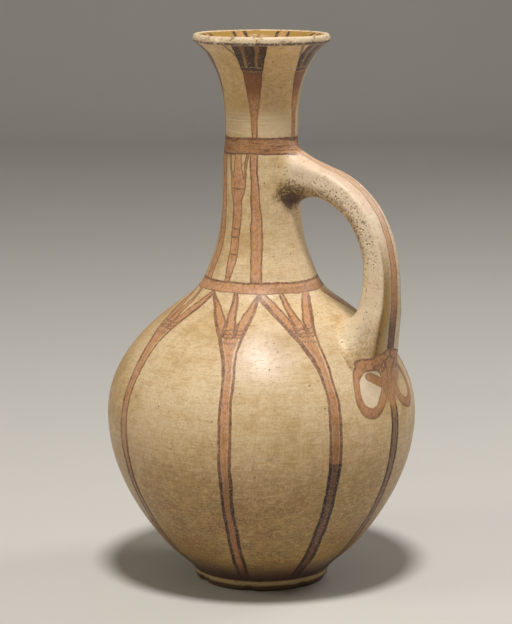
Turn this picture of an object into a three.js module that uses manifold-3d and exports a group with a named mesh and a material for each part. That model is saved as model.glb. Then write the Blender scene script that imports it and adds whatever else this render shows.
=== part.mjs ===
// Pottery jug with a round body on a low foot ring, a tall neck, a flaring mouth and one strap handle.
// Millimetres, +Z up. The origin is the centre of the circle that the foot rests on.
// The handle stands towards +X, and the XZ plane cuts it in two equal halves.
import * as THREE from 'three';
import { mergeVertices } from 'three/addons/utils/BufferGeometryUtils.js';
import Module from 'manifold-3d';

const wasm = await Module();
wasm.setup();

// Outer outline of the turned jug, from the foot up.
// A slope is the radius gained for each millimetre of height, and a rise is the height from the station below.
const footHeight = 6.5;
const footTopRadius = 42.5;
const footTopSlope = 0.67;
const lowerWallRise = 18.5;
const lowerWallRadius = 61.6;
const lowerWallSlope = 0.85;
const bellyRise = 81;
const bellyRadius = 95.9;
const shoulderRise = 71.2;
const shoulderRadius = 47.4;
const shoulderSlope = -1.47;
const neckBaseRise = 24.2;
const neckBaseRadius = 31.1;
const neckBaseSlope = -0.42;
const neckRise = 65.8;
const neckTopRadius = 23.4;
const neckTopSlope = -0.09;
const throatRise = 12.8;
const throatRadius = 22.4;
const funnelRise = 49;
const funnelRadius = 34.4;
const funnelSlope = 0.7;

// Lip of the mouth: the funnel curls out to a rounded bead, with its crown just inside the widest circle
const lipRise = 11;
const lipRadius = 42;
const lipBeadHeight = 5.8;
const lipCrownInset = 1.6;
const lipCurlReach = 3.2;
const lipCurlRise = 2.9;

// Walls and floor
const bodyWall = 5;
const neckWall = 4.4;
const floorThickness = 7;
const floorRadius = 27;
const floorBlendHeight = 9;

// Foot ring under the bowl, with a shallow boss on the bowl that centres it
const footRestRadius = 39.5;
const footRingWidth = 6.5;
const footRingInnerFlare = 2.2;
const footChamferHeight = 3;
const footChamferRadius = 41.6;
const bossRadius = 30.4;
const bossDepth = 1.5;

// Joints between the turned sections: where they show outside, and how steeply the slanted face climbs inwards,
// as height for each millimetre of wall
const bellyJointDrop = 11;
const bellyJointSlant = 1;
const neckJointRise = 11.3;
const neckJointSlant = -0.5;
const mouthJointRise = 6;
const mouthJointSlant = 0.7;

// Gap left at every face where two sections of clay meet
const jointGap = 0.3;

// Handle: one strap bent from the top of the neck down to the shoulder
const handleTopDrop = 12;
const handleTopAngle = -4.3;
const handleTopArm = 46.3;
const handleFootDrop = 27.2;
const handleFootAngle = 76.1;
const handleFootArm = 82.2;
const handleWidth = 22.6;
const handleThickness = 17.2;
const handleTopThickness = 22;
const handleFootThickness = 31;
const handleThinnestAt = 0.45;
const handleOuterSquareness = 3.3;
const handleInnerSquareness = 2.3;

// Clay smeared round both ends of the handle, thin at its free edge and flared against the jug
const luteEdge = 0.9;
const topLuteReach = 0.2;
const topLuteFlareAbove = 7.5;
const topLuteFlareBelow = 7;
const topLuteFlareSide = 4.5;
const footLuteReach = 0.075;
const footLuteFlareInside = 7;
const footLuteFlareSide = 10;

// Fineness of the faceted surfaces
const roundSegments = 60;
const outlineStep = 12;
const sectionPoints = 24;
const handleSteps = 20;
const luteSteps = 6;
const buried = 0.14;

const rad = THREE.MathUtils.degToRad;

// The stations of the outline, each above the last
const stations = [];
function addStation(rise, radius, slope) {
  const below = stations.at(-1);
  stations.push({ height: (below ? below.height : 0) + rise, radius, slope });
  return stations.at(-1).height;
}
addStation(footHeight, footTopRadius, footTopSlope);
addStation(lowerWallRise, lowerWallRadius, lowerWallSlope);
const bellyHeight = addStation(bellyRise, bellyRadius, 0);
const shoulderHeight = addStation(shoulderRise, shoulderRadius, shoulderSlope);
addStation(neckBaseRise, neckBaseRadius, neckBaseSlope);
const neckTopHeight = addStation(neckRise, neckTopRadius, neckTopSlope);
addStation(throatRise, throatRadius, 0);
const funnelHeight = addStation(funnelRise, funnelRadius, funnelSlope);

const bellyJointHeight = bellyHeight - bellyJointDrop;
const neckJointHeight = shoulderHeight + neckJointRise;
const mouthJointHeight = neckTopHeight + mouthJointRise;
const lipHeight = funnelHeight + lipRise;

// Radius and slope of the outline at a height, from the cubic curve between two stations
function outlineAt(height) {
  let index = stations.findIndex((station) => station.height >= height);
  index = THREE.MathUtils.clamp(index, 1, stations.length - 1);
  const low = stations[index - 1];
  const high = stations[index];
  const span = high.height - low.height;
  const t = (height - low.height) / span;
  const rise = high.radius - low.radius;
  const start = low.slope * span;
  const end = high.slope * span;
  const bend = 3 * rise - 2 * start - end;
  const twist = start + end - 2 * rise;
  const radius = low.radius + t * (start + t * (bend + t * twist));
  const slope = (start + t * (2 * bend + 3 * t * twist)) / span;
  return { radius, slope };
}

// A point of the outline moved by a thickness square to the wall, kept at its own height
function outlinePoint(height, thickness = 0) {
  const { radius, slope } = outlineAt(height);
  return new THREE.Vector2(radius + thickness * Math.hypot(1, slope), height);
}

// Heights shared by every surface that follows the outline, so that faces of two pieces lie parallel
const gridHeights = stations.slice(1).flatMap((station, index) => {
  const low = stations[index].height;
  const count = Math.ceil((station.height - low) / outlineStep);
  return Array.from({ length: count }, (_, step) => low + ((station.height - low) * step) / count);
});

function heightsBetween(low, high) {
  const least = outlineStep / 4;
  const inside = gridHeights.filter((height) => height > low + least && height < high - least);
  return [low, ...inside, high];
}

// A run of outline points from one height up to another, at a thickness outside or inside the wall
function wallRun(low, high, thickness = 0) {
  return heightsBetween(low, high).map((height) => outlinePoint(height, thickness));
}

function clay(colour, roughness) {
  return new THREE.MeshStandardMaterial({ color: colour, roughness, metalness: 0 });
}

const jug = new THREE.Group();

function addPiece(name, geometry, material) {
  const mesh = new THREE.Mesh(geometry, material);
  mesh.name = name;
  jug.add(mesh);
}

// Turns a profile of (radius, height) points about the Z axis
function turned(profile) {
  const geometry = new THREE.LatheGeometry(profile, roundSegments);
  geometry.rotateX(Math.PI / 2);
  return geometry;
}

function turnedRing(profile) {
  return turned([...profile, profile[0]]);
}

// Points of a curve without its two ends
function curveInside(curve, divisions) {
  return curve.getPoints(divisions).slice(1, -1);
}

function solidOf(geometry) {
  const bare = geometry.clone();
  bare.deleteAttribute('normal');
  bare.deleteAttribute('uv');
  const merged = mergeVertices(bare, 1e-4);
  const corners = merged.index.array;
  const faces = [];
  for (let at = 0; at < corners.length; at += 3) {
    const [a, b, c] = corners.slice(at, at + 3);
    if (a !== b && b !== c && c !== a) faces.push(a, b, c);
  }
  const vertProperties = new Float32Array(merged.attributes.position.array);
  const triVerts = new Uint32Array(faces);
  return new wasm.Manifold(new wasm.Mesh({ numProp: 3, vertProperties, triVerts }));
}

function geometryOf(solid) {
  const mesh = solid.getMesh();
  const geometry = new THREE.BufferGeometry();
  geometry.setAttribute('position', new THREE.BufferAttribute(mesh.vertProperties, 3));
  geometry.setIndex(new THREE.BufferAttribute(mesh.triVerts, 1));
  geometry.computeVertexNormals();
  return geometry;
}

// Foot ring: a turned coil, rounded outside, open in the middle and seated under the bowl
function footRing() {
  const top = footHeight - jointGap;
  const boreRadius = bossRadius + jointGap;
  const restInner = footRestRadius - footRingWidth;
  const side = new THREE.QuadraticBezierCurve(
    new THREE.Vector2(footRestRadius, 0),
    new THREE.Vector2(footChamferRadius, footChamferHeight / 3),
    new THREE.Vector2(footChamferRadius, footChamferHeight),
  );
  return turnedRing([
    new THREE.Vector2(restInner, 0),
    ...side.getPoints(3),
    new THREE.Vector2(footTopRadius, top),
    new THREE.Vector2(boreRadius, top),
    new THREE.Vector2(boreRadius, footHeight - bossDepth),
    new THREE.Vector2(restInner - footRingInnerFlare / 2, footHeight / 4),
  ]);
}

// Bowl: the lower half of the body, with its floor and the boss under it
function bowl() {
  const underside = footHeight - bossDepth;
  const floorTop = underside + floorThickness;
  const blendTop = floorTop + floorBlendHeight;
  const blendEnd = outlinePoint(blendTop, -bodyWall);
  const blend = new THREE.QuadraticBezierCurve(
    blendEnd,
    outlinePoint(floorTop, -bodyWall),
    new THREE.Vector2(floorRadius, floorTop),
  );
  const inside = wallRun(blendTop, bellyJointHeight + bellyJointSlant * bodyWall, -bodyWall);
  return turned([
    new THREE.Vector2(0, underside),
    new THREE.Vector2(bossRadius, underside),
    new THREE.Vector2(bossRadius, footHeight),
    ...wallRun(footHeight, bellyJointHeight),
    ...inside.reverse(),
    ...curveInside(blend, 4),
    new THREE.Vector2(floorRadius, floorTop),
    new THREE.Vector2(0, floorTop),
  ]);
}

// A section of wall from one slanted joint up to another
function wallSection(low, lowSlant, high, highSlant, wall) {
  const inside = wallRun(low + lowSlant * wall, high + highSlant * wall, -wall);
  return turnedRing([...wallRun(low, high), ...inside.reverse()]);
}

function shoulder() {
  const low = bellyJointHeight + jointGap;
  return wallSection(low, bellyJointSlant, neckJointHeight, neckJointSlant, bodyWall);
}

function neck() {
  const low = neckJointHeight + jointGap;
  return wallSection(low, neckJointSlant, mouthJointHeight, mouthJointSlant, neckWall);
}

// Mouth: the funnel above the neck, ending in the rounded lip
function mouth() {
  const low = mouthJointHeight + jointGap;
  const crownRadius = lipRadius - lipCrownInset;
  const beadMiddle = lipHeight - lipBeadHeight / 2;
  const curl = new THREE.QuadraticBezierCurve(
    outlinePoint(funnelHeight),
    new THREE.Vector2(funnelRadius + lipCurlReach, funnelHeight + lipCurlRise),
    new THREE.Vector2(crownRadius, lipHeight - lipBeadHeight),
  );
  const bead = new THREE.EllipseCurve(
    crownRadius, beadMiddle, lipCrownInset, lipBeadHeight / 2, -Math.PI / 2, Math.PI / 2,
  );
  const innerStart = outlinePoint(funnelHeight, -neckWall);
  const innerSide = new THREE.QuadraticBezierCurve(
    new THREE.Vector2(crownRadius, lipHeight),
    new THREE.Vector2(innerStart.x + neckWall, lipHeight - 1),
    innerStart,
  );
  return turnedRing([
    ...wallRun(low, funnelHeight),
    ...curveInside(curl, 3),
    ...bead.getPoints(6),
    ...curveInside(innerSide, 4),
    ...wallRun(low + mouthJointSlant * neckWall, funnelHeight, -neckWall).reverse(),
  ]);
}

// Centre line of the handle in the XZ plane, as (reach, height)
const handleTopHeight = neckTopHeight - handleTopDrop;
const handleFootHeight = shoulderHeight - handleFootDrop;
const handleStart = outlinePoint(handleTopHeight);
const handleEnd = outlinePoint(handleFootHeight);

function armFrom(point, angle, length) {
  const direction = new THREE.Vector2(Math.cos(rad(angle)), Math.sin(rad(angle)));
  return direction.multiplyScalar(length).add(point);
}

const handleLine = new THREE.CubicBezierCurve(
  handleStart,
  armFrom(handleStart, handleTopAngle, handleTopArm),
  armFrom(handleEnd, handleFootAngle, handleFootArm),
  handleEnd,
);

// The strap is thinnest a little above its middle and swells towards both ends
function handleThicknessAt(t) {
  const towardsTop = Math.max(0, 1 - t / handleThinnestAt);
  const towardsFoot = Math.max(0, (t - handleThinnestAt) / (1 - handleThinnestAt));
  const topSwell = (handleTopThickness - handleThickness) * towardsTop ** 2;
  const footSwell = (handleFootThickness - handleThickness) * Math.min(towardsFoot, 1) ** 3.5;
  return handleThickness + topSwell + footSwell;
}

// Direction of the centre line, also a little beyond its ends, where both ends are buried
function handleFrame(t) {
  const step = 0.001;
  const centre = handleLine.getPoint(t);
  const along = handleLine.getPoint(t + step).sub(handleLine.getPoint(t - step)).normalize();
  return { centre, outward: new THREE.Vector2(-along.y, along.x) };
}

function roundedPower(value, squareness) {
  return Math.sign(value) * Math.abs(value) ** (2 / squareness);
}

// One section of the strap: nearly flat outside with soft arrises, rounder on the finger side.
// Growth is the clay added outside, inside and at each side, and its softness turns the section into an ellipse.
function handleSection(t, growth) {
  const { centre, outward } = handleFrame(t);
  const half = handleThicknessAt(t) / 2;
  return Array.from({ length: sectionPoints }, (_, index) => {
    const angle = (2 * Math.PI * index) / sectionPoints;
    const outer = Math.cos(angle) > 0;
    const ownSquareness = outer ? handleOuterSquareness : handleInnerSquareness;
    const squareness = THREE.MathUtils.lerp(ownSquareness, 2, growth.softness);
    const depth = (half + (outer ? growth.outside : growth.inside)) * roundedPower(Math.cos(angle), squareness);
    const across = (handleWidth / 2 + growth.side) * roundedPower(Math.sin(angle), squareness);
    return new THREE.Vector3(centre.x + outward.x * depth, across, centre.y + outward.y * depth);
  });
}

// Closed solid through a row of sections that all have the same number of points
function loft(sections) {
  const positions = [];
  const faces = [];
  const count = sections[0].length;
  sections.flat().forEach((point) => positions.push(point.x, point.y, point.z));
  for (let row = 0; row < sections.length - 1; row += 1) {
    for (let index = 0; index < count; index += 1) {
      const next = (index + 1) % count;
      const a = row * count + index;
      const b = row * count + next;
      faces.push(a, a + count, b, b, a + count, b + count);
    }
  }
  const last = (sections.length - 1) * count;
  for (let index = 1; index < count - 1; index += 1) {
    faces.push(0, index, index + 1);
    faces.push(last, last + index + 1, last + index);
  }
  const geometry = new THREE.BufferGeometry();
  geometry.setAttribute('position', new THREE.Float32BufferAttribute(positions, 3));
  geometry.setIndex(faces);
  return geometry;
}

// Strap solid between two places on its line, grown by an amount that may change along it
function strap(from, to, steps, growthAt) {
  const places = Array.from({ length: steps + 1 }, (_, step) => from + ((to - from) * step) / steps);
  return solidOf(loft(places.map((t) => handleSection(t, growthAt(t)))));
}

function evenGrowth(amount) {
  return () => ({ outside: amount, inside: amount, side: amount, softness: 0 });
}

// Solid of the whole turned outline, grown by the joint gap, that the handle and its clay are cut to
const saddle = solidOf(turned([
  new THREE.Vector2(0, footHeight),
  ...wallRun(footHeight, funnelHeight, jointGap),
  new THREE.Vector2(0, funnelHeight),
]));

function handle() {
  return geometryOf(strap(-buried, 1 + buried, handleSteps, evenGrowth(0)).subtract(saddle));
}

// Clay round one end of the handle, with the strap's own room and the saddle cut out of it
function lute(from, to, growthAt) {
  const room = strap(-buried, 1 + buried, handleSteps, evenGrowth(jointGap));
  return geometryOf(strap(from, to, luteSteps, growthAt).subtract(room).subtract(saddle));
}

function handleTopLute() {
  return lute(-buried, topLuteReach, (t) => {
    const spread = Math.min(1, 1 - t / topLuteReach) ** 2;
    return {
      outside: jointGap + luteEdge + topLuteFlareAbove * spread,
      inside: jointGap + luteEdge + topLuteFlareBelow * spread,
      side: jointGap + luteEdge + topLuteFlareSide * spread,
      softness: 0,
    };
  });
}

function handleFootLute() {
  const start = 1 - footLuteReach;
  return lute(start, 1 + buried, (t) => {
    const spread = Math.min(1, (t - start) / footLuteReach);
    return {
      outside: jointGap + luteEdge,
      inside: jointGap + luteEdge + footLuteFlareInside * spread,
      side: jointGap + luteEdge + footLuteFlareSide * spread,
      softness: spread,
    };
  });
}

addPiece('foot_ring', footRing(), clay('#b89a6c', 0.75));
addPiece('bowl', bowl(), clay('#c8a671', 0.6));
addPiece('shoulder', shoulder(), clay('#d3b27c', 0.5));
addPiece('neck', neck(), clay('#cfae7b', 0.6));
addPiece('mouth', mouth(), clay('#d2b483', 0.65));
addPiece('handle', handle(), clay('#ccab7a', 0.7));
addPiece('handle_top_lute', handleTopLute(), clay('#c4a272', 0.75));
addPiece('handle_foot_lute', handleFootLute(), clay('#c9a875', 0.7));

export default jug;
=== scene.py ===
# Painted pottery jug in a plain studio: turned body in sections, strap handle, slip, paint and wear.
# The handle stands towards +X. Angles on the jug are in degrees from the handle, and sizes are in millimetres
# until they reach Blender, which works in metres.
import math
import bpy
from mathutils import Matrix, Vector, noise


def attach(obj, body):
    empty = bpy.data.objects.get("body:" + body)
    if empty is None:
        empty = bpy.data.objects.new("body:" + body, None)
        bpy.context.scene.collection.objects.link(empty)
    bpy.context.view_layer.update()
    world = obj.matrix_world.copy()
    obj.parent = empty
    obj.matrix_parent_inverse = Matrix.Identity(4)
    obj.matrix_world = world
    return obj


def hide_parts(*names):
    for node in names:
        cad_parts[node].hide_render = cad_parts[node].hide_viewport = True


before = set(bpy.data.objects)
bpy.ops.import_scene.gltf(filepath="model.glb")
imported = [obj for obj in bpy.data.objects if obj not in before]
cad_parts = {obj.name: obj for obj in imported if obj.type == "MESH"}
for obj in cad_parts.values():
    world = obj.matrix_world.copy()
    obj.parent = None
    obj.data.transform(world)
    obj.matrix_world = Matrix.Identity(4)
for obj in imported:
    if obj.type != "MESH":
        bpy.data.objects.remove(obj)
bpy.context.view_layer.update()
print("frame loaded:", sorted(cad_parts))

mm = 0.001
degree = math.pi / 180


def colour(red, green, blue):
    # a colour as seen on a screen, 0 to 255, turned into the linear values that Blender works in
    linear = []
    for part in (red, green, blue):
        value = part / 255
        linear.append(value / 12.92 if value <= 0.04045 else ((value + 0.055) / 1.055) ** 2.4)
    return (*linear, 1.0)


def between(value, low, high):
    # smooth step from 0 at low to 1 at high
    share = min(1.0, max(0.0, (value - low) / (high - low)))
    return share * share * (3 - 2 * share)


# Camera at the photograph's height, tilt and distance
cameraSettings = {
    "place": (0.786, -1.243, 0.427),
    "tilt": 80.0,
    "turn": 32.3,
    "lens": 138.9,
    "sensor": 36.0,
    "sideShift": -0.0093,
}


def makeCamera():
    data = bpy.data.cameras.new("photoCamera")
    data.sensor_width = cameraSettings["sensor"]
    data.lens = cameraSettings["lens"]
    data.shift_x = cameraSettings["sideShift"]
    data.clip_end = 30
    camera = bpy.data.objects.new("photoCamera", data)
    camera.location = cameraSettings["place"]
    camera.rotation_euler = (cameraSettings["tilt"] * degree, 0, cameraSettings["turn"] * degree)
    bpy.context.scene.collection.objects.link(camera)
    bpy.context.scene.camera = camera


makeCamera()
print("camera set")


# The jug's outline, as the solids have it: height, radius, and radius gained for each millimetre of height
jug = {
    "stations": (
        (6.5, 42.5, 0.67),
        (25, 61.6, 0.85),
        (106, 95.9, 0),
        (177.2, 47.4, -1.47),
        (201.4, 31.1, -0.42),
        (267.2, 23.4, -0.09),
        (280, 22.4, 0),
        (329, 34.4, 0.7),
    ),
    "height": 340,
    "bodyWall": 5,
    "neckWall": 4.4,
    "bellyJoint": 95,
    "neckJoint": 188.5,
    "mouthJoint": 273.2,
    "bellySlant": 1,
    "neckSlant": -0.5,
    "mouthSlant": 0.7,
    "turns": 400,
    "outsideStep": 1.1,
    "insideStep": 3.5,
    "seamStep": 0.15,
}


def outlineAt(height):
    # radius and slope on the cubic curve between two stations
    stations = jug["stations"]
    index = 1
    while index < len(stations) - 1 and stations[index][0] < height:
        index += 1
    lowHeight, lowRadius, lowSlope = stations[index - 1]
    highHeight, highRadius, highSlope = stations[index]
    span = highHeight - lowHeight
    t = (height - lowHeight) / span
    rise = highRadius - lowRadius
    start, end = lowSlope * span, highSlope * span
    bend, twist = 3 * rise - 2 * start - end, start + end - 2 * rise
    radius = lowRadius + t * (start + t * (bend + t * twist))
    return radius, (start + t * (2 * bend + 3 * t * twist)) / span


def wallPoint(height, thickness=0.0):
    radius, slope = outlineAt(height)
    return radius + thickness * math.hypot(1, slope), height


def wallRun(low, high, thickness, step):
    # points of the wall from one height to another, with a short row at each end so that seams shade smoothly
    count = max(2, round((high - low) / step))
    heights = [low + (high - low) * index / count for index in range(count + 1)]
    if thickness == 0:
        heights = [low, low + jug["seamStep"], *heights[1:-1], high - jug["seamStep"], high]
    return [wallPoint(height, thickness) for height in heights]


def bendBetween(start, pull, end, count):
    # points of a quadratic curve without its two ends
    points = []
    for index in range(1, count):
        t = index / count
        points.append(tuple(
            (1 - t) ** 2 * a + 2 * t * (1 - t) * b + t * t * c for a, b, c in zip(start, pull, end)
        ))
    return points


# Hand work: throwing rings, slow unevenness, and places where clay is missing
handWork = {
    "shrink": 0.24,
    "slowDepth": 0.16,
    "slowSize": 38,
    "ringDepth": 0.055,
    "ringSize": 3.6,
    "ringDrift": 1.3,
    "workedFrom": (1, 12),
    "lipFrom": 330,
    "lipSag": 0.5,
    "sagFrom": (333, 340),
    "sagSize": 17,
    "chipRagged": 0.35,
    "chipGrain": 1.7,
    "chips": (
        # angle, height, size, depth
        (-54.5, 95.2, 2.6, 0.7),
        (-52, 103.5, 1.5, 0.45),
        (-57.2, 133.9, 1.3, 0.35),
        (-121, 1.2, 5, 1.6),
        (-112, 2.5, 3.5, 1.1),
        (-69, 1.0, 4.5, 1.3),
        (-20, 2.2, 4.5, 1.2),
        (20, 1.4, 5, 1.5),
        (75, 1.6, 6, 1.5),
        (140, 1.2, 4, 1.2),
        (-95, 338.8, 3.2, 0.8),
        (-118, 335.2, 2.4, 0.8),
        (-60, 334.6, 2.2, 0.7),
        (-40, 335, 3.0, 0.9),
        (-28, 339.2, 2.6, 0.7),
        (15, 338.5, 3.6, 0.9),
        (70, 339, 3.0, 0.9),
        (128, 338.6, 4.0, 1.0),
        (171, 335, 3.0, 1.0),
    ),
}


def worked(point):
    # where a point of the ideal shape ends up, in millimetres; only its place decides
    x, y, height = point
    radius = math.hypot(x, y)
    if radius < 1e-6:
        return point
    angle = math.atan2(y, x)
    slow = noise.noise(Vector((x, y, height)) / handWork["slowSize"])
    drift = handWork["ringDrift"]
    rings = height / handWork["ringSize"]
    ring = noise.noise(Vector((math.cos(angle) * drift, math.sin(angle) * drift, rings)))
    onBody = between(height, *handWork["workedFrom"])
    move = -handWork["shrink"] + onBody * (handWork["slowDepth"] * slow + handWork["ringDepth"] * ring)
    lift = 0.0
    if height > handWork["lipFrom"]:
        sag = 0.5 + 0.5 * noise.noise(Vector((x, y, 0)) / handWork["sagSize"])
        lift = -handWork["lipSag"] * sag * between(height, *handWork["sagFrom"])
    for chipAngle, chipHeight, size, depth in handWork["chips"]:
        if abs(height - chipHeight) > size * 1.6:
            continue
        gap = (angle / degree - chipAngle + 180) % 360 - 180
        away = math.hypot(gap * degree * radius, height - chipHeight)
        away *= 1 + handWork["chipRagged"] * noise.noise(Vector((x, y, height)) / handWork["chipGrain"])
        if away < size:
            move -= depth * between(size - away, 0, size * 0.6)
    scale = (radius + move) / radius
    return x * scale, y * scale, height + lift


def deselectAll():
    if bpy.context.mode != "OBJECT":
        bpy.ops.object.mode_set(mode="OBJECT")
    bpy.ops.object.select_all(action="DESELECT")


def closeUp(piece, sharpest):
    # joins doubled corners, turns the faces outwards and shades the piece smooth between its sharp edges
    bpy.ops.object.mode_set(mode="EDIT")
    bpy.ops.mesh.select_all(action="SELECT")
    bpy.ops.mesh.remove_doubles(threshold=0.00001)
    bpy.ops.mesh.dissolve_degenerate(threshold=0.000001)
    bpy.ops.mesh.delete_loose()
    bpy.ops.mesh.select_all(action="SELECT")
    bpy.ops.mesh.normals_make_consistent(inside=False)
    bpy.ops.object.mode_set(mode="OBJECT")
    bpy.ops.object.shade_smooth_by_angle(angle=sharpest * degree)


def turnedPiece(name, profile):
    # a closed profile of (radius, height) points, turned about the jug's axis and then worked by hand
    deselectAll()
    bpy.ops.mesh.primitive_circle_add(vertices=len(profile), radius=0.05)
    piece = bpy.context.active_object
    piece.name = name
    piece.data.name = name
    for vertex, (radius, height) in zip(piece.data.vertices, profile):
        vertex.co = (radius * mm, 0, height * mm)
    wheel = piece.modifiers.new("wheel", "SCREW")
    wheel.steps = jug["turns"]
    wheel.render_steps = jug["turns"]
    wheel.use_merge_vertices = True
    bpy.ops.object.modifier_apply(modifier="wheel")
    for vertex in piece.data.vertices:
        vertex.co = Vector(worked(vertex.co / mm)) * mm
    closeUp(piece, 40)
    print("turned", name, len(piece.data.polygons), "faces")
    return piece


footRing = {
    "restRadius": 39.5,
    "width": 6.5,
    "innerFlare": 2.2,
    "chamferHeight": 3,
    "chamferRadius": 41.6,
    "topRadius": 42.5,
    "top": 6.5,
    "bossRadius": 30.4,
    "bossDepth": 1.5,
    "softEdge": 0.6,
}


def makeFootRing():
    ring = footRing
    inner = ring["restRadius"] - ring["width"]
    soft = ring["softEdge"]
    chamfer = (ring["chamferRadius"], ring["chamferHeight"])
    rest = (ring["restRadius"], 0)
    side = bendBetween(rest, (ring["chamferRadius"] - 0.1, ring["chamferHeight"] / 3), chamfer, 8)
    shelf = ring["top"] - ring["bossDepth"]
    profile = [(inner + soft, 0)]
    profile += [(inner + soft + (ring["restRadius"] - inner - soft) * step / 7, 0) for step in range(1, 7)]
    profile += [rest, *side, chamfer]
    rise = ring["top"] - soft - chamfer[1]
    lean = ring["topRadius"] - chamfer[0]
    for step in range(1, 6):
        profile.append((chamfer[0] + lean * between(step, 0, 5), chamfer[1] + rise * step / 5))
    profile += [(ring["topRadius"] - 0.08, ring["top"] - 0.25), (ring["topRadius"] - 0.3, ring["top"])]
    profile += [(ring["bossRadius"], ring["top"]), (ring["bossRadius"], shelf)]
    profile += [(inner - ring["innerFlare"] / 2, ring["top"] / 4), (inner - 0.2, soft * 0.6)]
    return turnedPiece("footRing", profile)


bowl = {
    "floorRadius": 27,
    "floorThickness": 7,
    "floorBlend": 9,
}


def makeBowl():
    wall = jug["bodyWall"]
    foot = footRing["top"]
    underside = foot - footRing["bossDepth"]
    floorTop = underside + bowl["floorThickness"]
    blendTop = floorTop + bowl["floorBlend"]
    jointTop = jug["bellyJoint"] + jug["bellySlant"] * wall
    profile = [(0, underside)]
    profile += [(footRing["bossRadius"] * step / 6, underside) for step in range(1, 7)]
    profile += [(footRing["bossRadius"], foot)]
    profile += wallRun(foot, jug["bellyJoint"], 0, jug["outsideStep"])
    profile += wallRun(blendTop, jointTop, -wall, jug["insideStep"])[::-1]
    blendPull, blendEnd = wallPoint(floorTop, -wall), (bowl["floorRadius"], floorTop)
    profile += bendBetween(wallPoint(blendTop, -wall), blendPull, blendEnd, 6)
    profile += [(bowl["floorRadius"] * (6 - step) / 6, floorTop) for step in range(7)]
    return turnedPiece("bowl", profile)


def wallSection(name, low, lowSlant, high, highSlant, wall):
    profile = wallRun(low, high, 0, jug["outsideStep"])
    profile += wallRun(low + lowSlant * wall, high + highSlant * wall, -wall, jug["insideStep"])[::-1]
    return turnedPiece(name, profile)


lip = {
    "radius": 42,
    "beadHeight": 5.8,
    "crownInset": 1.6,
    "curlReach": 3.2,
    "curlRise": 2.9,
    "insideRadius": 31.5,
    "insideSlope": 0.62,
}


def makeMouth():
    wall = jug["neckWall"]
    top = jug["height"]
    funnelHeight, funnelRadius, _ = jug["stations"][-1]
    crown = lip["radius"] - lip["crownInset"]
    curlPull = (funnelRadius + lip["curlReach"], funnelHeight + lip["curlRise"])
    curlEnd = (crown, top - lip["beadHeight"])
    profile = wallRun(jug["mouthJoint"], funnelHeight, 0, jug["outsideStep"])[:-2] + [wallPoint(funnelHeight)]
    profile += [*bendBetween(wallPoint(funnelHeight), curlPull, curlEnd, 10)]
    half = lip["beadHeight"] / 2
    for step in range(17):
        turn = math.pi * (step / 16 - 0.5)
        profile.append((crown + lip["crownInset"] * math.cos(turn), top - half + half * math.sin(turn)))
    innerEnd = wallPoint(funnelHeight, -wall)
    profile += bendBetween((crown, top), (innerEnd[0] + wall, top - 1), innerEnd, 14)
    profile += wallRun(jug["mouthJoint"] + jug["mouthSlant"] * wall, funnelHeight, -wall, 1.4)[::-1]
    return turnedPiece("mouth", profile)


turnedPieces = {
    "foot_ring": makeFootRing(),
    "bowl": makeBowl(),
    "shoulder": wallSection(
        "shoulder", jug["bellyJoint"], jug["bellySlant"], jug["neckJoint"], jug["neckSlant"], jug["bodyWall"]
    ),
    "neck": wallSection(
        "neck", jug["neckJoint"], jug["neckSlant"], jug["mouthJoint"], jug["mouthSlant"], jug["neckWall"]
    ),
    "mouth": makeMouth(),
}


# Handle: a strap on a curve in the XZ plane, with a root of smeared clay at each end
handle = {
    "topHeight": 255.2,
    "topAngle": -4.3,
    "topArm": 46.3,
    "footHeight": 150,
    "footAngle": 76.1,
    "footArm": 82.2,
    "sections": (
        # place along the curve, outer depth, inner depth, half width
        (0.2, 8.4, 10.2, 10.8),
        (0.4, 7.0, 10.8, 10.8),
        (0.55, 7.2, 10.6, 10.8),
        (0.7, 8.5, 9.9, 10.9),
        (0.8, 9.3, 10.5, 11.7),
        (0.86, 10.0, 11.2, 12.9),
    ),
    "outerSquareness": 5.5,
    "innerSquareness": 2.3,
    "strapFrom": 0.2,
    "strapTo": 0.86,
    "sectionPoints": 168,
    "strapRows": 190,
    "rootRows": 52,
    "buryRows": 8,
    "channelAt": 0.82,
    "channelWidth": 0.1,
    "channelDepth": 0.5,
    "unevenness": 0.16,
    "unevenSize": 13,
    "pitCell": 2.7,
    "pitDepth": 0.6,
    "worstPits": (70, 222),
    "worstReach": 34,
}

# The roots: where each lands on the body, how strongly it leaves the strap and lands, and how far it fans,
# hollows and spreads on its way
topRoot = {
    "centreHeight": 255,
    "halfHeight": 23,
    "halfArc": 16.5,
    "leave": 1.15,
    "land": 1.0,
    "fan": 0,
    "hollow": 0,
    "spread": 0,
}
footRoot = {
    "centreHeight": 145,
    "halfHeight": 26,
    "halfArc": 27,
    "leave": 1.0,
    "land": 1.2,
    "fan": 0.12,
    "hollow": 0.9,
    "spread": 1.0,
}


def handleLine(t):
    start = Vector(wallPoint(handle["topHeight"]))
    end = Vector(wallPoint(handle["footHeight"]))
    topTurn, footTurn = handle["topAngle"] * degree, handle["footAngle"] * degree
    pullTop = start + handle["topArm"] * Vector((math.cos(topTurn), math.sin(topTurn)))
    pullFoot = end + handle["footArm"] * Vector((math.cos(footTurn), math.sin(footTurn)))
    u = 1 - t
    point = u ** 3 * start + 3 * u * u * t * pullTop + 3 * u * t * t * pullFoot + t ** 3 * end
    along = 3 * u * u * (pullTop - start) + 6 * u * t * (pullFoot - pullTop) + 3 * t * t * (end - pullFoot)
    return point, along.normalized()


def strapMiddle(t):
    # the middle of the strap, where a closed end comes together
    centre, _ = handleLine(t)
    return Vector((centre.x, 0, centre.y)), 0


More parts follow.
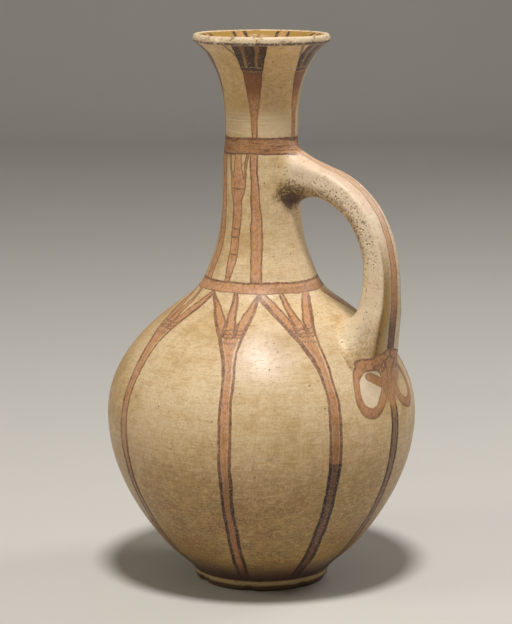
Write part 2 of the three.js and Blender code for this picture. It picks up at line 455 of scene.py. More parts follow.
def sectionAt(t):
    # outer depth, inner depth and half width, on smooth curves through the stations
    rows = handle["sections"]
    last = len(rows) - 1
    index = 1
    while index < last and rows[index][0] < t:
        index += 1
    span = rows[index][0] - rows[index - 1][0]
    s = (t - rows[index - 1][0]) / span

    def slopeAt(station, column):
        low, high = rows[max(0, station - 1)], rows[min(last, station + 1)]
        return (high[column] - low[column]) / (high[0] - low[0]) * span

    values = []
    for column in (1, 2, 3):
        start, end = slopeAt(index - 1, column), slopeAt(index, column)
        rise = rows[index][column] - rows[index - 1][column]
        curve = start + s * (3 * rise - 2 * start - end + s * (start + end - 2 * rise))
        values.append(rows[index - 1][column] + s * curve)
    return values


def strapPoint(t, turn):
    # turn 0 is the middle of the outer face, and pi the middle of the finger side; also gives how far across
    # the face it lies, from 0 in the middle to 1 at the arris and 2 in the middle of the finger side
    centre, along = handleLine(t)
    outward = Vector((-along.y, along.x))
    outer, inner, half = sectionAt(t)
    onFace = math.cos(turn) > 0
    deep = outer if onFace else inner
    squareness = handle["outerSquareness"] if onFace else handle["innerSquareness"]
    flat = abs(math.cos(turn) / deep) ** squareness + abs(math.sin(turn) / half) ** squareness
    reach = flat ** (-1 / squareness)
    depth, across = reach * math.cos(turn), reach * math.sin(turn)
    share = abs(across) / half if onFace else 2 - abs(across) / half
    if onFace:
        groove = math.exp(-((share - handle["channelAt"]) / handle["channelWidth"]) ** 2)
        depth -= handle["channelDepth"] * groove * between(t, 0.3, 0.6)
    return Vector((centre.x + outward.x * depth, across, centre.y + outward.y * depth)), share


def handWorkStrap(point, facing):
    # slow unevenness and pits, pushed in against the outward direction
    slow = noise.noise(point / handle["unevenSize"] + Vector((3, 7, 1)))
    move = handle["unevenness"] * (slow - 0.6)
    nearest = noise.voronoi(point / handle["pitCell"])
    distance, cell = nearest[0][0], nearest[1][0]
    chance = noise.noise(Vector(cell) * 3.1)
    sideFace = 1 - between(abs(facing), 0.55, 0.95)
    worstX, worstZ = handle["worstPits"]
    reach = handle["worstReach"]
    worst = math.exp(-((point.z - worstZ) / reach) ** 2) * math.exp(-((point.x - worstX) / reach) ** 2)
    if chance > 0.6 - 0.8 * sideFace * (0.2 + worst):
        size = 0.22 + 0.2 * (0.5 + 0.5 * noise.noise(Vector(cell) * 5.7))
        move -= handle["pitDepth"] * (1 - between(distance, size * 0.35, size))
    return move


def onBody(arc, height, depth):
    # a point under or on the turned surface at an arc length from the handle's plane
    radius = outlineAt(height)[0]
    angle = arc / radius
    surface = Vector(worked((radius * math.cos(angle), radius * math.sin(angle), height)))
    surface.xy *= 1 - depth / radius
    return surface


def landing(root, turn, share, depth):
    # the closed curve where a root meets the body; share below 1 draws it in towards its middle
    lean = -math.cos(turn) if root is footRoot else math.cos(turn)
    arc = root["halfArc"] * math.sin(turn) * share
    return onBody(arc, root["centreHeight"] + root["halfHeight"] * lean * share, depth)


def rootPoint(root, turn, share):
    # share 0 is on the strap's end and share 1 is where the clay thins out on the body
    t, towards = (handle["strapFrom"], -1) if root is topRoot else (handle["strapTo"], 1)
    start, across = strapPoint(t, turn)
    sideways = start.y / sectionAt(t)[2]
    leaveWay = (start - strapPoint(t - towards * 0.004, turn)[0]).normalized()
    leaveWay.y += root["fan"] * sideways
    end = landing(root, turn, 1, 0.05)
    landWay = landing(root, turn, 1.02, 0.05) - landing(root, turn, 0.98, 0.05)
    reach = (end - start).length
    outside = between(math.cos(turn), -0.1, 0.6)
    leave = leaveWay * reach * (root["leave"] + 0.12 * outside)
    land = landWay.normalized() * reach * (root["land"] - 0.4 * outside)
    s = share
    point = (
        (2 * s ** 3 - 3 * s * s + 1) * start
        + (s ** 3 - 2 * s * s + s) * leave
        + (3 * s * s - 2 * s ** 3) * end
        + (s ** 3 - s * s) * land
    )
    swell = 16 * s * s * (1 - s) ** 2
    point.y += root["spread"] * swell * sideways
    point.x -= root["hollow"] * swell * between(math.cos(turn), 0.0, 0.5)
    return point, across


def loftedPiece(name, rows, place):
    # a grid bent round into a closed tube; place gives a corner and how far across it lies, by row and turn
    deselectAll()
    columns = handle["sectionPoints"]
    bpy.ops.mesh.primitive_grid_add(x_subdivisions=rows, y_subdivisions=columns, size=1)
    piece = bpy.context.active_object
    piece.name = name
    piece.data.name = name
    facing, across = [], []
    for vertex in piece.data.vertices:
        row = round((vertex.co.x + 0.5) * rows)
        column = round((vertex.co.y + 0.5) * columns) % columns
        turn = 2 * math.pi * column / columns
        point, share = place(row, turn)
        vertex.co = point * mm
        facing.append(math.cos(turn))
        across.append(share)
    for kind, values in (("facing", facing), ("across", across)):
        note = piece.data.attributes.new(kind, "FLOAT", "POINT")
        note.data.foreach_set("value", values)
    closeUp(piece, 60)
    return piece


def dentPiece(piece):
    # moves each corner along its own normal by what the hand work says there
    facing = piece.data.attributes["facing"].data
    uses = [0] * len(piece.data.vertices)
    for face in piece.data.polygons:
        for index in face.vertices:
            uses[index] += 1
    normals = [Vector() for _ in uses]
    for face in piece.data.polygons:
        if max(uses[index] for index in face.vertices) < 8:
            for index in face.vertices:
                normals[index] += face.normal
    proud = []
    for vertex, normal, face in zip(piece.data.vertices, normals, facing):
        point = vertex.co / mm
        gap = math.hypot(point.x, point.y) - outlineAt(point.z)[0]
        vertex.co += normal.normalized() * handWorkStrap(point, face.value) * between(gap, 0, 3) * mm
        proud.append(between(gap, 0.5, 9))
    note = piece.data.attributes.new("proud", "FLOAT", "POINT")
    note.data.foreach_set("value", proud)
    bpy.ops.object.select_all(action="DESELECT")
    piece.select_set(True)
    bpy.context.view_layer.objects.active = piece
    bpy.ops.object.shade_smooth_by_angle(angle=70 * degree)
    print("shaped", piece.name, len(piece.data.polygons), "faces")


def makeStrap():
    rows = handle["strapRows"]
    seam = 0.0015

    def place(row, turn):
        # the rows next to both ends lie close to them, and the first and last close the tube
        if row in (0, rows):
            return strapMiddle(handle["strapFrom"] if row == 0 else handle["strapTo"])
        span = handle["strapTo"] - handle["strapFrom"]
        t = handle["strapFrom"] + span * (row - 1) / (rows - 2)
        if row == 2:
            t = handle["strapFrom"] + seam
        if row == rows - 2:
            t = handle["strapTo"] - seam
        return strapPoint(t, turn)

    piece = loftedPiece("strap", rows, place)
    dentPiece(piece)
    return piece


def makeRoot(name, root):
    rows = handle["rootRows"] + handle["buryRows"] + 2

    def place(row, turn):
        if row == 0:
            return strapMiddle(handle["strapFrom"] if root is topRoot else handle["strapTo"])
        if row <= handle["rootRows"] + 1:
            share = (row - 1) / handle["rootRows"]
            if row == 2:
                share = 0.004
            return rootPoint(root, turn, share)
        inner = (row - handle["rootRows"] - 1) / (handle["buryRows"] + 1)
        return landing(root, turn, 1 - inner, 0.05 + 1.5 * between(inner, 0, 0.25)), 2

    piece = loftedPiece(name, rows, place)
    dentPiece(piece)
    return piece


handlePieces = {
    "handle": makeStrap(),
    "handle_top_lute": makeRoot("topRoot", topRoot),
    "handle_foot_lute": makeRoot("footRoot", footRoot),
}


# Materials. A Reading wraps a socket, so that sums on it read as plain sums and add their Math nodes.
class Reading:
    def __init__(self, clay, socket):
        self.clay = clay
        self.socket = socket

    def __add__(self, other):
        return self.clay.reckon("ADD", self, other)

    def __radd__(self, other):
        return self.clay.reckon("ADD", other, self)

    def __sub__(self, other):
        return self.clay.reckon("SUBTRACT", self, other)

    def __rsub__(self, other):
        return self.clay.reckon("SUBTRACT", other, self)

    def __mul__(self, other):
        return self.clay.reckon("MULTIPLY", self, other)

    def __rmul__(self, other):
        return self.clay.reckon("MULTIPLY", other, self)

    def __truediv__(self, other):
        return self.clay.reckon("DIVIDE", self, other)

    def __rtruediv__(self, other):
        return self.clay.reckon("DIVIDE", other, self)

    def __pow__(self, other):
        return self.clay.reckon("POWER", self, other)

    def __neg__(self):
        return self.clay.reckon("MULTIPLY", self, -1.0)

    def size(self):
        return self.clay.reckon("ABSOLUTE", self)

    def least(self, other):
        return self.clay.reckon("MINIMUM", self, other)

    def most(self, other):
        return self.clay.reckon("MAXIMUM", self, other)

    def over(self, edge):
        return self.clay.reckon("GREATER_THAN", self, edge)

    def step(self, low, high):
        # smooth step from 0 at low to 1 at high
        values = {"Value": self, "From Min": low, "From Max": high}
        return self.clay.node("ShaderNodeMapRange", {"interpolation_type": "SMOOTHSTEP"}, values)


class Clay:
    # one material and the methods that add its nodes
    def __init__(self, name):
        self.material = bpy.data.materials.new(name)
        self.material.use_nodes = True
        self.tree = self.material.node_tree
        self.tree.nodes.clear()

    def node(self, kind, settings=None, values=None, out=0):
        made = self.tree.nodes.new(kind)
        for key, value in (settings or {}).items():
            setattr(made, key, value)
        for key, value in (values or {}).items():
            if isinstance(value, Reading):
                self.tree.links.new(value.socket, made.inputs[key])
            else:
                made.inputs[key].default_value = value
        return Reading(self, made.outputs[out]) if made.outputs else None

    def reckon(self, operation, *terms):
        return self.node("ShaderNodeMath", {"operation": operation}, dict(enumerate(terms)))

    def note(self, name):
        # a value that a piece's corners carry
        return self.node("ShaderNodeAttribute", {"attribute_name": name}, out="Fac")

    def place(self):
        # object coordinates in millimetres
        raw = self.node("ShaderNodeTexCoord", out="Object")
        return self.node("ShaderNodeVectorMath", {"operation": "SCALE"}, {0: raw, "Scale": 1000.0})

    def apart(self, vector):
        split = self.node("ShaderNodeSeparateXYZ", values={0: vector})
        return [Reading(self, output) for output in split.socket.node.outputs]

    def together(self, x, y, z):
        return self.node("ShaderNodeCombineXYZ", values={0: x, 1: y, 2: z})

    def grain(self, vector, size, detail=2.0, roughness=0.5, out="Fac"):
        # soft noise about 0.5, with lumps about that many millimetres across
        values = {"Vector": vector, "Scale": 1 / size, "Detail": detail, "Roughness": roughness}
        return self.node("ShaderNodeTexNoise", values=values, out=out)

    def cells(self, vector, size, out="Distance"):
        return self.node("ShaderNodeTexVoronoi", values={"Vector": vector, "Scale": 1 / size}, out=out)

    def paint(self, share, under, over):
        # over laid on under where the share is 1
        return self.node("ShaderNodeMix", {"data_type": "RGBA"}, {0: share, 6: under, 7: over}, out=2)

    def finish(self, base, roughness, height, depth, coat=0.0):
        bump = self.node("ShaderNodeBump", values={"Strength": 1.0, "Distance": depth * mm, "Height": height})
        shader = self.node(
            "ShaderNodeBsdfPrincipled",
            values={
                "Base Color": base,
                "Roughness": roughness,
                "Normal": bump,
                "IOR": 1.38,
                "Coat Weight": coat,
                "Coat Roughness": 0.42,
            },
        )
        self.node("ShaderNodeOutputMaterial", values={"Surface": shader})
        return self.material


# The slip's own colours, its stains and dirt, and colours laid on as painted shade and a painted highlight
slip = {
    "cream": colour(221, 192, 145),
    "pale": colour(232, 209, 170),
    "tan": colour(196, 160, 108),
    "ochre": colour(210, 165, 102),
    "umber": colour(140, 106, 40),
    "purple": colour(78, 56, 58),
    "rose": colour(196, 148, 118),
    "olive": colour(176, 142, 84),
    "pink": colour(224, 187, 155),
    "chalk": colour(233, 215, 188),
    "dirt": colour(84, 62, 40),
    "speck": colour(122, 90, 58),
    "lowDark": colour(96, 76, 56),
    "arrisDark": colour(98, 74, 42),
    "moss": colour(112, 94, 46),
    "straw": colour(176, 134, 58),
    "rust": colour(142, 94, 38),
    "bark": colour(98, 73, 30),
    "paintedSheen": colour(238, 214, 198),
    "light": colour(248, 230, 206),
    "honey": colour(250, 205, 130),
    "ember": colour(150, 80, 24),
}

# The painted ornament's colours, from worn red-brown to black ink
paintColours = {
    "red": colour(202, 145, 101),
    "orange": colour(209, 151, 91),
    "rose": colour(208, 158, 132),
    "brown": colour(128, 82, 54),
    "outline": colour(108, 84, 72),
    "inkBrown": colour(96, 66, 50),
    "dark": colour(62, 44, 34),
    "black": colour(34, 28, 28),
    "rust": colour(132, 82, 42),
}

# How the slip lies: mottling, turning lines, pits and dirt, with painted shade low down and a painted
# highlight on the belly.
# A pair is where a change starts and where it ends, in height, or in degrees for the jug's back.
ground = {
    "patchSize": 46,
    "cloudSize": 15,
    "lumpSize": 5.5,
    "grainSize": 1.6,
    "gritSize": 0.7,
    "streakSize": 0.9,
    "bandSize": 5.5,
    "pitCell": 3.4,
    "pitSize": 0.17,
    "pitGroups": 7.5,
    "swaySize": 17,
    "sway": 2.6,
    "shakeSize": 2.2,
    "shake": 1.2,
    "lowPart": (30, 150),
    "stainAndShadeLow": (24, 112),
    "warmTop": (280, 298),
    "warmBack": (104, 150),
    "stainedTop": (292, 306),
    "honeyTop": (276, 292),
    "beltFoot": (56, 74),
    "beltTop": (104, 130),
    "paintedSheenPlace": (45, -72, 164),
    "paintedSheenReach": (6, 36),
    "roughest": 0.52,
    "smoothest": 0.24,
    "glossFrom": (70, 140),
    "gloss": 0.21,
}


class Surface:
    # what every slipped piece shares: where a point lies on the jug, and the bare slip there
    def __init__(self, name):
        self.clay = Clay(name)
        clay = self.clay
        self.point = clay.place()
        self.x, self.y, self.z = clay.apart(self.point)
        self.radius = (self.x * self.x + self.y * self.y) ** 0.5
        self.perDegree = self.radius * degree
        sway = clay.apart(clay.grain(self.point, ground["swaySize"], 2.0, out="Color"))
        shake = clay.apart(clay.grain(self.point, ground["shakeSize"], 4.0, 0.7, out="Color"))
        self.swayAcross = (sway[0] - 0.5) * ground["sway"] + (shake[0] - 0.5) * ground["shake"]
        self.swayUp = (sway[1] - 0.5) * ground["sway"] + (shake[1] - 0.5) * ground["shake"]
        self.loose = sway[2]
        self.theta = clay.reckon("ARCTAN2", self.y, self.x) / degree + self.swayAcross / self.perDegree
        self.around = self.theta.size()
        self.up = self.z + self.swayUp
        self.readGrain()
        self.makeGround()
        self.makeTouch()

    def drawnOut(self, level, upright, detail, roughness=0.5):
        # noise drawn out over the surface, by how fast it changes going round and going up
        stretched = self.clay.together(self.x * level, self.y * level, self.z * upright)
        return self.clay.grain(stretched, 1.0, detail, roughness)

    def awayFrom(self, place, upShare=1.0):
        # distance from a place, with the difference in height taken at a share of itself
        x, y, z = self.x - place[0], self.y - place[1], (self.z - place[2]) * upShare
        return (x * x + y * y + z * z) ** 0.5

    def wash(self, share, tint):
        # lays a colour over what is there
        self.base = self.clay.paint(share, self.base, tint)

    def readGrain(self):
        clay, point = self.clay, self.point
        self.patch = clay.grain(point, ground["patchSize"], 3.0)
        self.cloud = clay.grain(point, ground["cloudSize"], 4.0, 0.6)
        self.lump = clay.grain(point, ground["lumpSize"], 3.0, 0.6)
        self.fine = clay.grain(point, ground["grainSize"], 3.0, 0.6)
        self.grit = clay.grain(point, ground["gritSize"], 2.0, 0.7)
        self.streak = self.drawnOut(0.045, 1 / ground["streakSize"], 3.0, 0.6)
        self.band = self.drawnOut(0.02, 1 / ground["bandSize"], 2.0)
        self.canvas = (self.drawnOut(0.95, 0.28, 3.0, 0.7) + self.drawnOut(0.22, 1.1, 3.0, 0.7)) / 2
        self.scratch = self.drawnOut(0.3, 1.6, 4.0, 0.7)
        self.groups = clay.grain(point, ground["pitGroups"], 2.0)
        pitted = 1 - clay.cells(point, ground["pitCell"]).step(ground["pitSize"] * 0.4, ground["pitSize"])
        self.pit = pitted * self.groups.step(0.52, 0.62)

    def makeGround(self):
        # pale and cream slip, browner and darker low down (partly its own staining, partly painted shade),
        # with stains, weave, streaks, scratches and specks
        z, patch, cloud, lump = self.z, self.patch, self.cloud, self.lump
        fine, grit, streak, canvas, scratch = self.fine, self.grit, self.streak, self.canvas, self.scratch
        shade = patch + (streak - 0.5) * 0.25 + (self.band - 0.5) * 0.4
        self.base = self.clay.paint(shade.step(0.3, 0.72), slip["pale"], slip["cream"])
        self.wash((cloud + (streak - 0.5) * 0.5).step(0.45, 0.8) * 0.45, slip["tan"])
        # browner and darker towards the bottom: partly the slip's own staining and partly painted shade where
        # less light reaches
        low = 1 - z.step(*ground["lowPart"])
        warm = low.most(z.step(*ground["warmTop"]) * 0.8).most(self.around.step(*ground["warmBack"]) * 0.75)
        self.wash(warm * (0.55 + cloud * 0.7).least(1.0), slip["ochre"])
        deep = 1 - z.step(*ground["stainAndShadeLow"])
        self.wash(deep * (0.5 + cloud * 0.6).least(0.92), slip["umber"])
        self.wash((lump + patch * 0.4).step(0.66, 0.86) * 0.4, slip["tan"])
        self.wash((1 - lump + cloud * 0.4).step(0.74, 0.9) * 0.3 * (1 - deep), slip["pale"])
        stained = z.step(*ground["stainedTop"]) * 0.36
        mossy = lump.step(0.4, 0.56) * patch.step(0.32, 0.55)
        self.wash(deep.most(stained) * mossy * 0.75, slip["moss"])
        rusty = (1 - cloud).step(0.42, 0.56) * (1 - patch).step(0.35, 0.6)
        self.wash(deep.most(stained * 0.6) * rusty * 0.85, slip["rust"])
        self.wash(deep * lump.step(0.48, 0.66) * (1 - patch).step(0.4, 0.6) * 0.5, slip["rust"])
        self.wash(z.step(*ground["honeyTop"]) * 0.3, slip["honey"])
        self.wash(canvas.step(0.46, 0.58) * (0.17 + deep * 0.48), slip["bark"])
        self.wash((1 - canvas).step(0.5, 0.6) * (0.3 - deep * 0.1), slip["pale"])
        self.wash(patch.step(0.45, 0.62) * cloud.step(0.38, 0.62) * 0.5, slip["olive"])
        self.wash((1 - patch).step(0.48, 0.74) * fine.step(0.4, 0.7) * 0.4, slip["pink"])
        belt = z.step(*ground["beltFoot"]) * (1 - z.step(*ground["beltTop"]))
        self.wash(streak.step(0.54, 0.74) * (0.26 + belt * 0.34), slip["tan"])
        self.wash((1 - streak).step(0.54, 0.74) * (0.1 + belt * 0.3), slip["pale"])
        # painted highlight: a pale pink patch on the belly where the key lamp's sheen falls
        ragged = self.awayFrom(ground["paintedSheenPlace"]) + (cloud - 0.5) * 22
        self.wash((1 - ragged.step(*ground["paintedSheenReach"])) * 0.55, slip["paintedSheen"])
        self.wash(grit.step(0.5, 0.7) * 0.42, slip["tan"])
        self.wash((1 - grit).step(0.52, 0.72) * 0.34, slip["pale"])
        self.wash(scratch.step(0.56, 0.7) * 0.4, slip["umber"])
        self.wash((1 - scratch).step(0.58, 0.72) * (0.1 + low * 0.3), slip["pale"])
        self.wash(fine.step(0.62, 0.74) * self.groups.step(0.48, 0.64) * 0.5, slip["speck"])
        self.wash(self.pit * 0.7, slip["dirt"])

    def makeTouch(self):
        # how rough, how raised and how glossy the bare slip is
        spread = ground["roughest"] - ground["smoothest"]
        uneven = self.cloud * 0.7 + self.fine * 0.5 - 0.1
        self.roughness = ground["smoothest"] + spread * uneven + self.pit * 0.2
        raised = self.streak * 0.07 + self.band * 0.12 + self.cloud * 0.16 + self.fine * 0.07
        self.height = raised - self.pit * 0.35 - self.scratch.step(0.56, 0.72) * 0.07 - self.canvas * 0.1
        self.coat = self.z.step(*ground["glossFrom"]) * ground["gloss"]

    def pick(self, gates, values):
        # one of a row of numbers, by how many gates are open
        total = gates[0] * (values[1] - values[0]) + values[0]
        for gate, low, high in zip(gates[1:], values[1:], values[2:]):
            total = total + gate * (high - low)
        return total

    def strip(self, distance, width, soft=0.3):
        # 1 within a width inside an edge, for a distance that counts inwards
        return distance.step(-soft, soft) * (1 - (distance - width).step(-soft, soft))

    def lay(self, fill, line, darkness, inkDark):
        # paint on the slip: a worn red-brown fill between darker outlines
        clay, fine, grit = self.clay, self.fine, self.grit
        brushed = self.drawnOut(0.55, 0.3, 4.0, 0.65)
        drawn = self.drawnOut(0.5, 0.07, 3.0, 0.6)
        mottle = (fine * 0.7 + grit * 0.3 + brushed * 0.4).step(0.62, 0.86)
        tone = clay.paint(brushed.step(0.3, 0.7), paintColours["red"], paintColours["orange"])
        tone = clay.paint(drawn.step(0.42, 0.62) * 0.8, tone, paintColours["rose"])
        tone = clay.paint(mottle * 0.8, tone, paintColours["brown"])
        tone = clay.paint((darkness * 1.6).least(1.0) * (0.6 + mottle * 0.4), tone, paintColours["rust"])
        darkest = darkness.step(0.5, 1.0) * (0.55 + mottle * 0.5).least(1.0)
        tone = clay.paint(darkest, tone, paintColours["dark"])
        ink = clay.paint(self.loose.step(0.4, 0.6), paintColours["outline"], paintColours["inkBrown"])
        ink = clay.paint(inkDark, ink, paintColours["black"])
        worn = (fine + self.cloud * 0.5 + grit * 0.35).step(0.9, 1.2)
        faded = clay.grain(self.point, 8, 4.0, 0.65).step(0.42, 0.68)
        thickness = (0.78 + brushed * 0.3 + grit * 0.1).least(0.98)
        fillShare = fill * (1 - worn * 0.5) * (1 - faded * 0.14) * thickness
        fillShare = fillShare.most(fill * darkness.step(0.5, 0.9) * 0.97)
        broken = (fine * 0.6 + grit * 0.6 + faded * 0.06).step(0.48, 0.74)
        lineShare = line * (1 - broken * (0.75 - inkDark * 0.5)) * (0.98 - faded * 0.08)
        self.wash(fillShare, tone)
        self.wash(lineShare, ink)
        painted = fill.most(line)
        chips = (grit * 0.8 + fine * 0.4).step(0.68, 0.76) * painted * (0.14 + inkDark * 0.5)
        self.wash(chips, slip["pink"])
        self.roughness = self.roughness + painted * 0.07
        self.height = self.height + painted * 0.05

    def brushLevel(self, share):
        # dark strokes along a band
        strokes = self.drawnOut(0.12, 1.1, 3.0, 0.6)
        self.wash(share * strokes.step(0.48, 0.64) * 0.7, paintColours["inkBrown"])

    def finish(self):
        return self.clay.finish(self.base, self.roughness, self.height, 1.0, self.coat)


# Bands round the jug: lowest and highest height, and how wide the lines along both edges are
bands = {
    "neckBase": (185.0, 191.6, 0.8, 1.7),
    "midNeck": (267.6, 278.0, 1.2, 1.6),
}


def bandMarks(surface, name, steepness=1.0):
    # steepness is the way along the wall for each millimetre of height
    low, high, lowLine, highLine = bands[name]
    fromLow = (surface.up - low) * steepness
    fromHigh = (high - surface.up) * steepness
    inside = fromLow.least(fromHigh).step(-0.25, 0.25)
    line = surface.strip(fromLow, lowLine).most(surface.strip(fromHigh, highLine))
    return inside, line


# Stems up the body, each ending in a flower with three petals. Angles and reaches in degrees, heights in mm.
# The values in a row are for the stem under the handle, the pair of flowers beside it, the next two pairs,
# and the one at the back. Toward is the half that faces the handle, and away the other half.
flowers = {
    "borders": (10.8, 59.8, 104.4, 150),
    "centres": (0, 30.3, 71, 118.5, 180),
    "halfStem": 2.55,
    "stemWidens": (10, 62),
    "reachAway": (0, 28.5, 31.5, 30.2, 0),
    "reachToward": (0, 19, 10, 12.2, 29),
    "powerAway": (1, 2.85, 3.3, 3, 3),
    "powerToward": (1, 2.4, 1.5, 1.35, 2.4),
    "opensAt": 155,
    "opensSooner": 30,
    "opensOver": 29,
    "steepens": (112, 172),
    "gapFoot": 169.8,
    "gapHeight": 13.5,
    "farGap": (8.1, 3.9, 7.95, 1.55),  # near edge's start and slant, far edge's start and power
    "nearGap": (1.5, 1.6, 1.55, 5.3),  # near edge's start and power, far edge's start and slant
    "gapAway": (0, 12.8, 21.7, 19, 0),
    "gapToward": (0, 11, 9.1, 9, 20),
    "lean": (0, 0, 0, 0, -6.5),
    "foot": 9,
    "calyx": 163.2,
    "outline": 2.35,
    "inkyPart": (70, 112),
    "ties": (166.9, 165.0, 163.3),
    "loopedTie": 161.6,
    "handleStemTop": 121,
}


def flowerMarks(surface):
    marks = flowers
    up, z, perDegree = surface.up, surface.z, surface.perDegree
    gates = [surface.around.over(border) for border in marks["borders"]]
    across = surface.around - surface.pick(gates, marks["centres"])
    away = across.over(0)

    def side(row):
        toward, outer = surface.pick(gates, marks[row + "Toward"]), surface.pick(gates, marks[row + "Away"])
        return toward + (outer - toward) * away

    # distance inwards from the edge of a stem and the flower that it opens into
    reach, power = side("reach"), side("power")
    span = marks["opensOver"] * (1 + away)
    rise = ((up - marks["opensAt"] + marks["opensSooner"] * away) / span).most(0.0)
    edge = reach * rise ** power + marks["halfStem"] * (1 + 0.55 * (1 - z.step(*marks["stemWidens"])))
    slope = reach * power / span * rise ** (power - 1)
    tilt = slope * perDegree / (1 + 0.75 * z.step(*marks["steepens"]))
    fan = (edge - across.size()) * perDegree / (tilt * tilt + 1) ** 0.5

    # the gaps between the petals
    opened = ((up - marks["gapFoot"]) / marks["gapHeight"]).most(0.0)
    leaned = across - surface.pick(gates, marks["lean"])
    openAway = side("gap")
    start, slant, end, bend = marks["farGap"]
    farGap = (leaned - start - opened * slant).least(opened ** bend * openAway + end - leaned)
    start, bend, end, slant = marks["nearGap"]
    nearGap = (leaned - start + opened ** bend * openAway).least(opened * slant + end - leaned)
    petalGap = nearGap.most(farGap) * perDegree / 1.3
    flowering = up.step(marks["calyx"] - 0.4, marks["calyx"] + 0.4) * gates[0]
    cream = petalGap.step(-0.1, 0.3) * flowering
    petalLine = surface.strip(-petalGap, 1.05, 0.25) * flowering * petalGap.step(-3.0, -2.0)

    # outlines, and the bare slip that shows beside them
    alive = gates[0].most(1 - up.step(marks["handleStemTop"], marks["handleStemTop"] + 0.8))
    alive = alive * up.step(marks["foot"], marks["foot"] + 2.5)
    inside = fan.step(-0.25, 0.25) * alive
    inky = 1 - z.step(*marks["inkyPart"])
    nearest = gates[0] * (1 - gates[1])
    most = edge * perDegree * (0.42 + inky * 0.14)
    thick = most.least(marks["outline"] * (0.68 + surface.loose * 0.5 + inky * 0.6 + nearest * away * 0.35))
    line = surface.strip(fan, thick, 0.28).most(petalLine)
    beside = surface.strip(fan - thick - 0.1, 0.4 + 0.7 * z.step(120, 152), 0.22)
    bare = beside * (1 - flowering) * (surface.loose.step(0.3, 0.6) * 0.55 + 0.3)
    bare = bare * (1 - away * 0.6) * (1 - inky)
    fill = inside * (1 - cream) * (1 - bare.least(1.0))

    # thin wavy lines tie the calyx, the lowest one looped
    wave = surface.clay.reckon("SINE", across * perDegree * 1.7)
    tied = (up - marks["loopedTie"] + wave.size() * 1.3).size()
    for tie in marks["ties"]:
        tied = tied.least((up - tie - wave * 0.25).size())
    line = line.most((1 - tied.step(0.3, 0.62)) * gates[0] * 0.85)
    return fill, line * inside


# Two scrolls on the foot of the handle, one at each side of its stem. Places are to the right and up from a
# scroll's middle; an oval ends with its half width and half height, and a stroke with its radius.
scroll = {
    "angle": 10.6,
    "height": 132.4,
    "halfWidth": 14.8,
    "halfHeight": 18.0,
    "shear": 0.22,
    "eye": (0.9, -0.6, 8.6, 10.8),
    "hook": ((-8.5, 1.6), (0.6, 6.4), 2.7),
    "shoulder": ((4.0, 13.4), (-14.0, 18.6), 3.2),
    "scribble": (-3.5, 11.2, 10.0, 3.0),
    "trunk": 4.2,
    "trunkFoot": (119.5, 121),
    "trunkTop": (148, 150),
}


def scrollMarks(surface):
    across = (surface.around - scroll["angle"]) * surface.perDegree
    rise = surface.up - scroll["height"]

    def oval(right, up, halfWidth, halfHeight):
        # distance inwards from the edge of a leaning oval
        a, b = (across + rise * scroll["shear"] - right) / halfWidth, (rise - up) / halfHeight
        return (1 - (a * a + b * b) ** 0.5) * ((halfWidth + halfHeight) / 2)

    def stroke(start, end, radius):
        # distance inwards from the edge of a round-ended stroke
        wayX, wayY = end[0] - start[0], end[1] - start[1]
        square = wayX * wayX + wayY * wayY
        share = (((across - start[0]) * wayX + (rise - start[1]) * wayY) / square).most(0.0).least(1.0)
        x, y = across - start[0] - share * wayX, rise - start[1] - share * wayY
        return radius - (x * x + y * y) ** 0.5

    outer = oval(0, 0, scroll["halfWidth"], scroll["halfHeight"]).most(stroke(*scroll["shoulder"]))
    opened = oval(*scroll["eye"]).least(-stroke(*scroll["hook"]))
    near = 1 - surface.around.step(29, 30)
    inside = outer.step(-0.25, 0.25) * near
    top = rise.step(2, 10)
    outerLine = surface.strip(outer, 1.3) * (0.5 + top * 0.5)
    innerLine = surface.strip(-opened, 0.9) * (0.4 + top * 0.6)
    rubbed = (surface.fine + surface.grit * 0.6).step(0.72, 0.92)
    surface.scribble = oval(*scroll["scribble"]).step(-1.5, 1.5) * rubbed
    line = outerLine.most(innerLine).most(surface.scribble)
    # the stem runs on between the two scrolls
    trunk = scroll["trunk"] + 1.1 * surface.z.step(119, 128) - surface.around * surface.perDegree
    trunk = trunk.step(-0.3, 0.3) * surface.up.step(*scroll["trunkFoot"])
    trunk = trunk * (1 - surface.up.step(*scroll["trunkTop"]))
    # white slip in the eye on one side
    white = opened.step(-0.2, 0.4) * near * (1 - surface.y.step(-2, 2))
    surface.wash(white * (0.45 + surface.cloud * 0.5).least(0.85), slip["chalk"])
    filled = (inside * (1 - opened.step(-0.2, 0.2))).most(trunk)
    return filled, line * inside, inside.most(trunk)


# Upright stripes and budded stems on the neck, by their angles; knots by their heights
neckPaint = {
    "foot": (190.8, 191.4),
    "top": (267.2, 268),
    "stripes": (63, 126, 180),
    "lean": 7,
    "stripeHalf": 3.75,
    "stripeTaper": 1.25,
    "taperAt": (222, 256),
    "stems": (95, 154),
    "halfStem": 2.1,
    "budFoot": 254,
    "budHeight": 13,
    "knots": (247.2, 222.6, 217.4, 207.2, 193.5),
}


